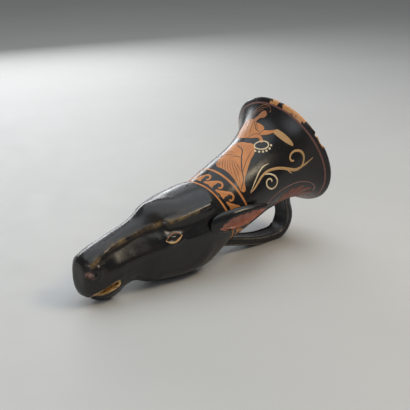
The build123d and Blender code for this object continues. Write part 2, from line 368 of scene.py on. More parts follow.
def aroundBowl(angle, height, radius):
    out = cos(angle) * bowlTop + sin(angle) * seenSide
    return neckCentre + height * mm * bowlAxis + radius * mm * out


def bowlSpot(point):
    place = point - neckCentre
    out = place - place.dot(bowlAxis) * bowlAxis
    return place, atan2(place.dot(seenSide), place.dot(bowlTop)), place.dot(bowlAxis) / mm, out


def spinRing(name, profile, steps):
    points = [aroundBowl(0, height, radius) for radius, height in profile]
    piece = newMesh(name, points, [])
    piece.data.edges.add(len(points))
    for i, edge in enumerate(piece.data.edges):
        edge.vertices = (i, (i + 1) % len(points))
    editAll()
    bpy.ops.mesh.spin(steps=steps, angle=2 * pi, center=neckCentre, axis=bowlAxis)
    editDone()
    cleanMesh(piece, mergeGaps["ring"])
    return piece


def wallRows(knots, travel):
    profile = []
    for first, second in zip(travel, travel[1:]):
        for row in range(bowlShape["rows"]):
            height = first[0] + (second[0] - first[0]) * row / bowlShape["rows"]
            profile.append((wallRadius(knots, height), height))
    return profile


def makeBowl():
    outside, inside = bowlShape["outside"], bowlShape["inside"]
    tenonOut, tenonIn, tenonFoot = bowlShape["tenon"]
    profile = [(tenonOut, tenonFoot), (tenonOut, 0), *wallRows(outside, outside)]
    profile += [(outside[-1][1], outside[-1][0]), *bowlShape["lip"], *wallRows(inside, inside[::-1])]
    profile += [(inside[0][1], 0), (tenonIn, tenonFoot)]
    return spinRing("cup_bowl", profile, bowlShape["steps"])


# chips knocked out of the rim
rimChips = {
    "chips": (   # degrees from the top, width and depth in mm
        (60.5, 3.6, 1.5), (68, 10, 1.1), (14, 4, 0.4), (-70, 6, 0.8), (205, 7, 0.9),
    ),
    "above": 84,
    "outside": 44,
    "deepening": 4,
    "pull": (0.75, 0.65),   # inwards and down the bowl
    "rough": 0.4,
    "roughScale": 260,
    "ripple": 0.06,
    "rippleScale": 90,
}


def chipRim(piece):
    inwards, down = rimChips["pull"]
    for vertex in piece.data.vertices:
        place, angle, height, out = bowlSpot(vertex.co)
        radius = out.length / mm
        out.normalize()
        if height > rimChips["above"] and radius > rimChips["outside"]:
            rough = 1 + rimChips["rough"] * noise.noise(place * rimChips["roughScale"])
            reached = min(1, (height - rimChips["above"]) / rimChips["deepening"])
            for chipAngle, width, depth in rimChips["chips"]:
                turn = (angle - radians(chipAngle) + pi) % (2 * pi) - pi
                away = abs(turn) * radius / (width / 2)
                bite = depth * max(0, 1 - away**2) * rough * reached
                vertex.co -= bite * mm * (inwards * out + down * bowlAxis)
        vertex.co += noise.noise(place * rimChips["rippleScale"]) * rimChips["ripple"] * mm * out


# worn stretches of the rim bare the clay
rimWear = {
    "worn": ((3, 12.5), (17, 43), (196, 208), (-76, -64)),   # degrees from the top
    "wornEdge": 0.4,
    "lip": (84.9 * mm, 85.1 * mm),
    "ragged": (120, 4, 0.3, 0.7, -0.7 * mm, 0.7 * mm),
    "frayed": (160, 4, 0.3, 0.7, -0.05, 0.05),
    "top": (87.8 * mm, 88.8 * mm),
    "topPatch": (110, 4, 0.52, 0.56),
    "freshChips": 2,
    "fresh": (86.6 * mm, 87.2 * mm),
    "freshRadius": 46,
    "freshEdge": 0.8,
    "freshShare": 0.8,
    "clay": (350, 4, 0.35, 0.65),
    "rust": (240, 3, 0.6, 0.66),
}


def bowlSlip():
    finish, colour, *coat = slipFinish("bowlBlackSlip")
    up, high, side = (finish.along(way, neckCentre) for way in (bowlAxis, bowlTop, seenSide))
    angle = finish.plus(finish.maths("ARCTAN2", side, high), finish.patches(*rimWear["frayed"]))
    lip = finish.step(finish.plus(up, finish.patches(*rimWear["ragged"])), *rimWear["lip"])
    patch = finish.times(finish.step(up, *rimWear["top"]), finish.patches(*rimWear["topPatch"]))
    for first, last in rimWear["worn"]:
        first, last = ((turn + 180) % 360 - 180 for turn in (first, last))
        begun = finish.step(angle, radians(first), radians(first + rimWear["wornEdge"]))
        ended = finish.step(angle, radians(last + rimWear["wornEdge"]), radians(last))
        patch = finish.maths("MAXIMUM", patch, finish.times(lip, finish.times(begun, ended)))
    for chipAngle, width, depth in rimChips["chips"][:rimWear["freshChips"]]:
        half = width / 2 / rimWear["freshRadius"]
        away = finish.maths("ABSOLUTE", finish.maths("SUBTRACT", angle, radians(chipAngle)))
        near = finish.step(away, half, half * rimWear["freshEdge"])
        broken = finish.times(near, finish.step(up, *rimWear["fresh"]))
        patch = finish.maths("MAXIMUM", patch, finish.times(broken, rimWear["freshShare"]))
    clay = finish.mix(finish.patches(*rimWear["clay"]), "clayPale", "clayOrange")
    clay = finish.mix(finish.patches(*rimWear["rust"]), clay, "slipRust")
    return finish.finishWith(finish.mix(patch, colour, clay), *coat)


bowl = makeBowl()
chipRim(bowl)
keepPiece(bowl, "bowl", "painted_black_slip", bowlSlip(), "bowl")
print("bowl spun", len(bowl.data.polygons), "faces")

# head, softened from the pressed halves and worked over like damp clay
# strokes run in side view: mm ahead of the neck joint and mm above the table, with width and lift in mm
headWork = {
    "voxel": 0.8 * mm,
    "smoothing": 10,
    "melted": (   # pressed lids and ridges, melted away under the finer forms
        (((66, 47), (56, 40), (46, 41)), 9, 40),
        (((62, 48.5), (24, 54.8)), 6.5, 50),
        (((60, 54), (50, 56), (40, 57.6)), 6.5, 16),
        (((70, 52), (62, 56), (52, 60)), 8, 40),
        (((44, 61), (36, 62.5), (14, 65)), 8, 12),
        (((123, 33), (124, 22), (122, 10)), 5, 25),
    ),
    "topLine": (   # mm ahead, mm high along the mirror plane, without the forehead's boss
        (4, 16, 36, 46, 52, 57, 61.5, 66.5, 70, 76, 82, 90, 96, 104, 110, 114),
        (66.4, 65, 62.8, 61.8, 60.2, 58.4, 56.6, 54, 52.6, 50.8, 48.9, 46.4, 44.4, 41.9, 40.7, 39.4),
    ),
    "boss": ((42, 46, 52, 57, 61.5, 64, 66.5, 69, 72), (0, 0.6, 1.9, 3.2, 4.6, 4.5, 3.4, 1.5, 0)),
    "bossHalf": 13,
    "crestLine": (   # brow and nose crests
        (4, 20, 36, 46, 54, 58, 62, 66, 72, 85, 98, 104, 110, 116),
        (58.2, 56.4, 54.2, 52.8, 51.4, 50.6, 49.6, 48.6, 47.2, 44.4, 41.2, 39.3, 37.2, 34),
    ),
    "crestOut": (   # how far the crests stand out from the mirror plane
        (4, 20, 36, 46, 54, 62, 70, 78, 88, 98, 104, 110, 116),
        (24.5, 23.8, 22.6, 20.8, 18.2, 14.6, 11.4, 9.6, 8.8, 8.4, 8.8, 9.6, 10.4),
    ),
    "roof": 2.9,
    "topBlend": {   # how the top runs out into the sides
        "limit": 1.15,
        "edge": 1.12,
        "fade": 0.24,
        "ends": ((6, 18, 106, 116), (0, 1, 1, 0)),
        "depth": 7,
    },
    "lineSpan": (-30, 160),
    "lineBlur": 5,
    "lineRounds": 2,
    "coreHeight": 0.028,   # outer faces look away from here
    "blendFrom": 0.036,
    "blendRounds": 6,
    "sideGain": 1.6,
    "nose": {   # drawn in towards the bridge between two heights
        "stations": (52, 58, 64, 70, 78, 88, 96, 104, 110, 116, 122),
        "from": (46, 44, 40, 37, 34, 31.5, 29.5, 28, 27, 26, 25),
        "crest": (55, 53, 50, 48, 46, 43.6, 41.6, 39, 37, 33.4, 30),
        "drawnIn": (0, 0.05, 0.21, 0.33, 0.37, 0.34, 0.31, 0.24, 0.18, 0.10, 0),
    },
    "strokes": {
        "browCrest": (((20, 55.8), (36, 53.6), (46, 52.2), (56, 50.2)), 3.4, 1.2),
        "underBrow": (((57, 45.6), (46, 46.6), (36, 48), (20, 50.2)), 5, -1),
        "socketSide": (((61, 43), (46, 42.4), (36, 42.6), (20, 43.6)), 7, -1.5),
        "noseCrest": (
            ((66, 48.2), (72, 46.8), (85, 44), (98, 40.8), (104, 38.8), (110, 36.6), (118, 32.2)),
            3, 0.7,
        ),
        "muzzleSwell": (((103, 35.4), (110, 33), (115, 30.5)), 5.5, 0.8),
        "tearGroove": (((84, 35.4), (70, 38), (63, 38.4)), 3.6, -0.5),
        "noseSide": (((110, 27.5), (98, 33), (84, 37), (74, 39.5)), 5, -0.4),
        "cheekCrest": (((98, 27), (82, 31.2), (70, 33.6), (58, 34.6)), 4.4, 0.7),
        "cheekHollow": (((90, 23), (76, 25)), 6, -0.7),
        "jawEdge": (((60, 10), (44, 8), (30, 14), (22, 24)), 7, 0.8),
        "nostrilWing": (((114.5, 30.5), (112.8, 27), (113.8, 23)), 2.4, 0.8),
        "nostrilEdge": (((118.6, 29.4), (116.6, 28.6)), 1.6, 0.7),
        "upperLip": (((118, 11.5), (110, 14.8), (102, 18.4), (96, 19.8)), 2.4, 0.6),
        "lowerLip": (((111, 4.6), (104, 7.6), (98, 11.5)), 2.2, 0.5),
        "chinGroove": (((92, 9), (88, 7)), 5, -0.6),
    },
    "polished": (   # rubbed smooth after the strokes
        (((64, 45), (57, 44.6), (50, 45)), 6, 14),
        (((103, 31.5), (92, 32.5), (78, 35.5), (66, 38.5)), 8, 40),
        (((118, 31), (108, 34)), 5, 4),
    ),
    # marks kept off the mirror plane: worn nostril and lip, and the painted highlight along the crests
    "wearAndHighlightFrom": 2.5,
    "wearAndHighlightFade": 2,
    "wear": {
        "nostrilWear": (((119.8, 26), (118.6, 25.2)), 3),
        "lipWear": (((100.2, 15), (106, 12.4), (115, 8.6)), 4.2),
        "crestRub": (((24, 55.6), (57, 50.8), (72, 47.2), (98, 41.2), (110, 37), (118, 32.4)), 2.4),
    },
}
seamFace = {"within": 1e-5, "facing": 0.99}   # faces of a half on the mirror plane
leastWeight = 0.01


def softCopy(name, nodeName, work, mirrored=False):
    piece = linkPiece(name, nodes[nodeName].data.copy())
    bpy.ops.mesh.customdata_custom_splitnormals_clear()
    editAll()
    bpy.ops.mesh.remove_doubles(threshold=mergeGaps["fine"])
    bpy.ops.mesh.select_all(action="DESELECT")
    editDone()
    if mirrored:
        for face in piece.data.polygons:
            onPlane = abs(face.center.y) < seamFace["within"]
            face.select = onPlane and abs(face.normal.y) > seamFace["facing"]
        bpy.ops.object.mode_set(mode="EDIT")
        bpy.ops.mesh.delete(type="FACE")
        editDone()
        applyModifier(piece, "MIRROR", use_axis=(False, True, False), merge_threshold=mergeGaps["mirror"])
        cleanMesh(piece)
    piece.data.remesh_voxel_size = work["voxel"]
    bpy.ops.object.voxel_remesh()
    applyModifier(piece, "SMOOTH", iterations=work["smoothing"])
    return piece


def smoothWhere(piece, weights, rounds):
    group = piece.vertex_groups.new(name="smoothing")
    for index in np.nonzero(weights > leastWeight)[0]:
        group.add([int(index)], float(weights[index]), "REPLACE")
    applyModifier(piece, "SMOOTH", iterations=rounds, vertex_group=group.name)
    piece.vertex_groups.clear()


def pointArrays(piece):
    count = len(piece.data.vertices)
    points = np.empty(count * 3)
    normals = np.empty(count * 3)
    piece.data.vertices.foreach_get("co", points)
    piece.data.vertices.foreach_get("normal", normals)
    return points.reshape(-1, 3), normals.reshape(-1, 3)


def setPoints(piece, points):
    piece.data.vertices.foreach_set("co", points.ravel())
    piece.data.update()


def addLayer(piece, name, values):
    stored = piece.data.attributes.new(name, "FLOAT", "POINT")
    stored.data.foreach_set("value", values)
    piece.data.update()


def sideDistance(points, path):
    spots = np.stack([(neckCentre.x - points[:, 0]) / mm, points[:, 2] / mm], 1)
    best = np.full(len(points), np.inf)
    for first, second in zip(path, path[1:]):
        start = np.array(first)
        run = np.array(second) - start
        t = np.clip(((spots - start) @ run) / (run @ run), 0, 1)
        away = np.linalg.norm(spots - start - t[:, None] * run, axis=1)
        best = np.minimum(best, away)
    return best


def softFall(distance, width):
    t = np.clip(distance / width, 0, 1)
    return (1 - t * t) ** 2


def easeIn(share):
    return share * share * (3 - 2 * share)


def smoothLine(ahead, places, values):
    grid = np.arange(*headWork["lineSpan"])
    line = np.interp(grid, places, values)
    width = headWork["lineBlur"]
    for _ in range(headWork["lineRounds"]):
        line = np.convolve(line, np.ones(width) / width, "same")
    return np.interp(ahead, grid, line)


def smoothWork(piece, key):
    for path, width, rounds in headWork[key]:
        smoothWhere(piece, softFall(sideDistance(pointArrays(piece)[0], path), width), rounds)


def drawInNose(points):
    nose = headWork["nose"]
    ahead = (neckCentre.x - points[:, 0]) / mm
    lines = (nose["from"], nose["crest"], nose["drawnIn"])
    low, crest, drawn = (smoothLine(ahead, nose["stations"], line) for line in lines)
    share = np.clip((points[:, 2] / mm - low) / (crest - low), 0, 1)
    points[:, 1] *= 1 - drawn * easeIn(share)


def layTop(points, outer):
    blend = headWork["topBlend"]
    ahead = (neckCentre.x - points[:, 0]) / mm
    top, crest, reach = (smoothLine(ahead, *headWork[key]) for key in ("topLine", "crestLine", "crestOut"))
    aside = np.abs(points[:, 1]) / mm
    out = aside / reach
    formed = top - (top - crest) * np.minimum(out, blend["limit"]) ** headWork["roof"]
    formed += smoothLine(ahead, *headWork["boss"]) * softFall(aside, headWork["bossHalf"])
    share = np.clip((blend["edge"] - out) / blend["fade"], 0, 1) * np.interp(ahead, *blend["ends"])
    share *= outer * (points[:, 2] / mm > crest - blend["depth"])
    points[:, 2] += easeIn(share) * (formed * mm - points[:, 2])


def facesOut(points, normals):
    middle = points.copy()
    middle[:, 1] = 0
    middle[:, 2] = headWork["coreHeight"]
    return np.einsum("ij,ij->i", points - middle, normals) > 0


def workHead(piece):
    smoothWork(piece, "melted")
    points, normals = pointArrays(piece)
    drawInNose(points)
    layTop(points, facesOut(points, normals))
    setPoints(piece, points)
    smoothWhere(piece, (points[:, 2] > headWork["blendFrom"]).astype(float), headWork["blendRounds"])
    points, normals = pointArrays(piece)
    outer = facesOut(points, normals)
    sideways = np.clip(np.abs(normals[:, 1]) * headWork["sideGain"], 0, 1)
    for path, width, lift in headWork["strokes"].values():
        amount = softFall(sideDistance(points, path), width) * lift * mm * outer * sideways
        points += amount[:, None] * normals
    points[:, 2] = np.maximum(points[:, 2], 0)
    setPoints(piece, points)
    smoothWork(piece, "polished")
    points = pointArrays(piece)[0]
    sided = np.clip((np.abs(points[:, 1]) / mm - headWork["wearAndHighlightFrom"]) / headWork["wearAndHighlightFade"], 0, 1)
    # the wear marks and the painted crest highlight are stored as attributes
    for name, (path, width) in headWork["wear"].items():
        addLayer(piece, name, softFall(sideDistance(points, path), width) * sided)


head = softCopy("animal_head", "head_left_half", headWork, mirrored=True)
workHead(head)
keepPiece(head, "clay", "black_slip", headSlip(), "head_left_half", "head_right_half")
print("head worked", len(head.data.polygons), "faces")

# handle: the pulled strap with a raised bead along each edge, and corners lightened grey, partly rubbed
# wear and partly a painted highlight
strap = {
    "voxel": 0.4 * mm,
    "smoothing": 4,
    "edgeFrom": 2.3,
    "edgeWidth": 1.3,
    "edgeLift": 0.6,
    "cornerTurn": 0.62,
    "cornerSpread": 0.3,
    "rub": (140, 4, 0.2, 0.5),
    "highlightAndRubShare": 0.6,
}


def raiseEdges(piece):
    points, normals = pointArrays(piece)
    aside = np.abs(points[:, 1]) / mm
    stations = np.round(points[:, 0] / mm).astype(int)
    halfWidth = {x: aside[stations == x].max() for x in set(stations.tolist())}
    inset = np.array([halfWidth[x] for x in stations.tolist()]) - aside
    sideways = np.abs(normals[:, 1])
    edge = softFall(np.abs(inset - strap["edgeFrom"]), strap["edgeWidth"]) * (1 - sideways)
    points += (edge * strap["edgeLift"] * mm)[:, None] * normals
    points[:, 2] = np.maximum(points[:, 2], 0)
    setPoints(piece, points)
    corner = np.abs(sideways - strap["cornerTurn"])
    addLayer(piece, "edgeRubAndHighlight", softFall(corner, strap["cornerSpread"]))


def handleSlip():
    finish, colour, *coat = slipFinish("handleBlackSlip")
    # corners lightened grey: partly rubbed wear, partly a painted highlight line
    rub = finish.times(finish.attribute("edgeRubAndHighlight"), finish.patches(*strap["rub"]))
    colour = finish.mix(finish.times(rub, strap["highlightAndRubShare"]), colour, "rubAndHighlightGrey")
    return finish.finishWith(colour, *coat)


handle = softCopy("clay_strap", "strap_handle", strap)
raiseEdges(handle)
keepPiece(handle, "clay", "handle_black_slip", handleSlip(), "strap_handle")
print("handle softened", len(handle.data.polygons), "faces")

# ear line from root to tip, and the hollow's half width and half depth at shares of it, in mm
earShape = {
    "voxel": 0.42 * mm,
    "smoothing": 3,
    "root": (-27, 20.4, 35.5),   # behind the neck joint, out from the mirror plane, above the table
    "tip": (28.5, 34.9, 45.5),
    "droop": 14,
    "bow": 2.2,
    "hollowOut": 3.4,
    "shares": (0.2, 0.3, 0.45, 0.6, 0.8, 0.98),
    "halfWidth": (0.6, 4, 6.4, 6.3, 4.2, 0.8),
    "halfDepth": (1, 3.2, 4.4, 4.4, 3.4, 1),
    "hollowFrom": 0.16,
    "hollowEdge": 1.25,
    "hollowFade": 0.4,
    "facing": (2, 0.9),   # gain and offset
    "rolled": (0.58, 0.42),   # middle and reach of the rolled stretch
    "roll": (0.7, 1.2, 0.4),   # upper rim rolled outwards: lift, rise and reach
    "slit": (0.7, 0.6, 0.4),   # narrow slit below it
    "riseLimit": 2,
    "raised": (-1, 0, 2.6),   # set a little up the neck
}


def earSpot(key, sign):
    behind, out, height = earShape[key]
    return Vector((neckCentre.x / mm + behind, sign * out, height))


def rimPush(key, rise):
    lift, at, reach = earShape[key]
    return lift * softFall(np.abs(rise - at), reach)


def shapeHollow(piece, sign):
    shape = earShape
    start = earSpot("root", sign)
    line = earSpot("tip", sign) - start
    across = line.cross(Vector((0, sign, -tan(radians(shape["droop"]))))).normalized()
    outward = np.array(across.cross(line).normalized())
    upward = np.array(across if across.z > 0 else -across)
    points, normals = pointArrays(piece)
    spots = points / mm - np.array(start)
    t = spots @ np.array(line) / line.length_squared
    bow = 4 * shape["bow"] * t * (1 - t)
    rise = spots @ upward / np.interp(t, shape["shares"], shape["halfWidth"])
    deep = (spots @ outward - shape["hollowOut"] - bow) / np.interp(t, shape["shares"], shape["halfDepth"])
    inside = np.clip((shape["hollowEdge"] - rise**2 - deep**2) / shape["hollowFade"], 0, 1)
    inside *= t > shape["hollowFrom"]
    gain, offset = shape["facing"]
    facing = np.clip(normals @ outward * gain + offset, 0, 1)
    middle, reach = shape["rolled"]
    push = (rimPush("roll", rise) - rimPush("slit", rise)) * facing * softFall(np.abs(t - middle), reach)
    points += (push * mm)[:, None] * outward
    points += np.array(shape["raised"]) * mm
    setPoints(piece, points)
    addLayer(piece, "hollow", inside * facing)
    addLayer(piece, "hollowRise", np.clip(rise, -shape["riseLimit"], shape["riseLimit"]))


# red clay in the hollow, with painted shadow in the slit under the rim and painted shade along its lower
# edge
earLook = {
    "clay": (180, 4, 0.35, 0.65),
    "fray": (260, 4, 0.3, 0.7, -0.25, 0.2),
    "lowerShadeScallop": (420, 2, 0.35, 0.65, -0.16, 0.16),
    "hollowEdge": (0.45, 0.6),
    "upperSlitShadow": (0.2, 0.05),
    "lowerEdgeShade": (-1.12, -1),
}


def earSlip():
    finish, colour, *coat = slipFinish("earBlackSlip")
    clay = finish.mix(finish.patches(*earLook["clay"]), "clayRed", "earClay")
    fray = finish.patches(*earLook["fray"])
    lowerShadeScallop = finish.patches(*earLook["lowerShadeScallop"])
    rise = finish.attribute("hollowRise")
    bare = finish.step(finish.plus(finish.attribute("hollow"), fray), *earLook["hollowEdge"])
    # black kept over the hollow's upper part: a painted shadow in the slit under the rolled rim
    bare = finish.times(bare, finish.step(finish.plus(rise, fray), *earLook["upperSlitShadow"]))
    # ragged black along the hollow's lower edge: painted shade
    bare = finish.times(bare, finish.step(finish.plus(rise, lowerShadeScallop), *earLook["lowerEdgeShade"]))
    return finish.finishWith(finish.mix(bare, colour, clay), *coat)


earFinish = earSlip()
for side, sign in sides.items():
    ear = softCopy(side + "_leaf_ear", side + "_ear", earShape)
    shapeHollow(ear, sign)
    keepPiece(ear, "clay", "ear_slip", earFinish, side + "_ear")
print("ears softened")

# the seam strips inside the head stay as pressed
stripClay = paintFinish("bareClay", "clayOrange", "clayDeep", 0.7)
for name in ("crown_seam_strip", "throat_seam_strip"):
    nodes[name].data.materials.clear()
    nodes[name].data.materials.append(stripClay)

# eyes: two almond lids laid on the head in side view, with a ball between them
eye = {
    "ahead": 55.2,
    "height": 39.9,
    "length": 13.6,
    "opening": 5.8,
    "slope": 7,
    "lids": {   # side, widths in mm, paint
        "upper": (1, (0.5, 1.1, 1.25, 1.1, 0.6), ("slipRust", "clayDull", 0.4, 0.6)),
        "lower": (-0.95, (0.8, 1.25, 1.35, 1.7, 0.9), ("gold", "clayDull", 0.4)),
    },
    "lid": (8, mm / 2, 3),   # steps, radius, bevel
    "ball": (5.3, 2.3, 2.5),
    "ballRings": (32, 16),
    "sink": 1.3,
    "castFrom": 60 * mm,
}
lidPaints = {lid: paintFinish(lid + "LidClay", *look[-1]) for lid, look in eye["lids"].items()}
ballSlip = plainSlip("eyeballSlip")


def onEye(u, v, sign):
    lean = radians(eye["slope"])
    ahead = eye["ahead"] + u * cos(lean) - v * sin(lean)
    height = eye["height"] - u * sin(lean) + v * cos(lean)
    start = Vector((neckCentre.x - ahead * mm, sign * eye["castFrom"], height * mm))
    return head.ray_cast(start, Vector((0, -sign, 0)))[1:3]


def makeLid(name, way, widths, finish, sign):
    knots = []
    for i, width in enumerate(widths):
        share = 1 - 2 * i / (len(widths) - 1)
        bulge = way * (1 - share**2)
        place, normal = onEye(share * eye["length"] / 2, bulge * eye["opening"] / 2, sign)
        knots.append((*place, width))
    lid = bezierMesh(name, [knots], *eye["lid"])
    cleanMesh(lid)
    keepPiece(lid, "clay", "black_slip", finish)


def makeBall(name, sign):
    place, normal = onEye(0, 0, sign)
    segments, rings = eye["ballRings"]
    bpy.ops.object.select_all(action="DESELECT")
    bpy.ops.mesh.primitive_uv_sphere_add(segments=segments, ring_count=rings, radius=mm)
    ball = bpy.context.object
    ball.name = name
    ball.location = place - eye["sink"] * mm * normal
    ball.scale = eye["ball"]
    turn = normal.to_2d().angle_signed(Vector((0, sign)))
    ball.rotation_euler = (0, radians(eye["slope"]), -sign * turn)
    bpy.ops.object.transform_apply(location=True, rotation=True, scale=True)
    keepPiece(ball, "clay", "black_slip", ballSlip)


for side, sign in sides.items():
    for lid, (way, widths, look) in eye["lids"].items():
        makeLid(f"{side}_{lid}_lid", way, widths, lidPaints[lid], sign)
    makeBall(side + "_eyeball", sign)
print("eyes set")

# painting, drawn flat and then wrapped on
# mm round the bowl from the top line, and mm up from the neck joint
layer = {
    "under": 0.1,
    "base": 0.06,
    "middle": 0.07,
    "arms": 0.09,
    "over": 0.12,
    "bulge": 0.05,
    "grid": 1.4,
    "near": 1e-4,
    "stroke": (6, 0.5, 1),   # steps, radius, bevel
    "outlineSteps": 5,
    "castFrom": 60,
}


def skinRadius(angle, height):
    start = aroundBowl(angle, height, layer["castFrom"])
    inward = aroundBowl(angle, height, 0) - start
    casts = [skin.ray_cast(start, inward) for skin in (bowl, head)]
    return max(layer["castFrom"] - (place - start).length / mm for hit, place, *rest in casts if hit)


def wrapOn(piece, start, lift, mirrored):
    flip = -1 if mirrored else 1
    for vertex in piece.data.vertices:
        arc, height, rise = vertex.co
        angle = start + flip * arc / wallRadius(bowlShape["outside"], max(height, 0))
        vertex.co = aroundBowl(angle, height, skinRadius(angle, height) + lift + rise)
    cleanMesh(piece)


def brushStrokes(name, strokes, finish, start=0.0, lift=layer["base"], mirrored=False, closed=False):
    flat = [[(arc, height, 0, width) for arc, height, width in points] for points in strokes]
    piece = bezierMesh(name, flat, *layer["stroke"], closed)
    for vertex in piece.data.vertices:
        vertex.co.z *= layer["bulge"] * 2
    wrapOn(piece, start, lift, mirrored)
    keepPiece(piece, "stroke", "painted_black_slip", finish)


def smoothLoop(outline):
    knots = [(arc, height, 0, 1) for arc, height in outline]
    loop = bezierMesh("outline", [knots], layer["outlineSteps"], closed=True)
    points = [vertex.co.to_2d() for vertex in loop.data.vertices]
    bpy.data.objects.remove(loop)
    return points


def gridPoints(loop):
    gap = layer["grid"]
    left, bottom = (min(point[i] for point in loop) for i in (0, 1))
    right, top = (max(point[i] for point in loop) for i in (0, 1))
    points = []
    for row in range(int((top - bottom) / gap)):
        for column in range(int((right - left) / gap)):
            points.append(Vector((left + (column + 0.5 + row % 2 / 2) * gap, bottom + (row + 0.5) * gap)))
    return points


def paintShapes(name, outlines, finish, start=0.0, lift=layer["base"]):
    points, faces = [], []
    for outline in outlines:
        loop = smoothLoop(outline)
        edges = [(i, (i + 1) % len(loop)) for i in range(len(loop))]
        inner = gridPoints(loop)
        spots, _, triangles, *rest = delaunay_2d_cdt(loop + inner, edges, [], 1, layer["near"])
        faces += [[len(points) + i for i in triangle] for triangle in triangles]
        points += [(spot.x, spot.y, 0) for spot in spots]
    piece = newMesh(name, points, faces)
    wrapOn(piece, start, lift, False)
    applyModifier(piece, "SOLIDIFY", thickness=(lift + layer["under"]) * mm, offset=-1)
    keepPiece(piece, "shape", "painted_black_slip", finish)


# stripes round the pot: lower and upper edge in mm up from the neck joint
bands = {
    "lowerStripe": (-3.2, -1.5),
    "upperStripe": (13.7, 15.4),
    "rimLine": (84.1, 85),
    "neckSlip": (-1.2, 1),
    "rows": 4,
    "steps": 180,
    "spunAt": (30, 29),   # radii before it is laid on the skin
    "waver": 0.1,
    "waverScale": (4, 7),
}


def paintBand(name, key, finish, lift=layer["base"], waver=bands["waver"]):
    low, high = bands[key]
    outside, inside = bands["spunAt"]
    rows = [low + (high - low) * i / (bands["rows"] - 1) for i in range(bands["rows"])]
    profile = [(outside, row) for row in rows] + [(inside, row) for row in reversed(rows)]
    piece = spinRing(name, profile, bands["steps"])
    wave, lane = bands["waverScale"]
    for vertex in piece.data.vertices:
        place, angle, height, out = bowlSpot(vertex.co)
        outer = out.length > (outside + inside) / 2 * mm
        height += waver * noise.noise(Vector((wave * cos(angle), wave * sin(angle), lane * low)))
        lifted = lift if outer else -layer["under"]
        vertex.co = aroundBowl(angle, height, skinRadius(angle, height) + lifted)
    cleanMesh(piece)
    keepPiece(piece, "shape", "painted_black_slip", finish)


reservedClay = paintFinish("reservedClay", "clayOrange", "clayDeep", 0.42)
dullClay = paintFinish("dullClay", "clayDull", "clayDeep", 0.42)
paleClay = paintFinish("paleClay", "tan", "clayPale", 0.42)
addedWhite = paintFinish("addedWhite", "cream", "clayPale", 0.5, 0.4)
palmetteClay = paintFinish("palmetteClay", "redBrown", "clayRed", 0.5)
frameClay = paintFinish("frameClay", "pinkBrown", "redBrown", 0.5)
rimPurple = paintFinish("rimPurple", "purpleBrown", "redBrown", 0.45)
lineSlip = plainSlip("lineSlip")
paintBand("lower_stripe", "lowerStripe", reservedClay)
paintBand("upper_stripe", "upperStripe", reservedClay)
paintBand("rim_line", "rimLine", rimPurple)
paintBand("neck_slip", "neckSlip", lineSlip, layer["middle"], 0)
print("bands painted")

# running wave between the stripes
waveBand = {
    "count": 14,
    "hook": (
        (3.2, 1.4, 0.5), (6.6, 2.8, 1.8), (10, 5.4, 2.8), (12.6, 8.2, 2), (15.4, 8.9, 1.6),
        (17.2, 7.2, 1.5), (17, 5, 1.5), (15.6, 4.6, 1.3),
    ),
    "foot": ((3.2, 1.3), (8, 1.5), (12.4, 0.9), (11.9, 3), (12.2, 6.6), (9.6, 6.6), (6.2, 4)),
}
for turn in range(waveBand["count"]):
    start = 2 * pi * turn / waveBand["count"]
    brushStrokes(f"wave_hook_{turn:02d}", [waveBand["hook"]], reservedClay, start)
    paintShapes(f"wave_foot_{turn:02d}", [waveBand["foot"]], reservedClay, start)

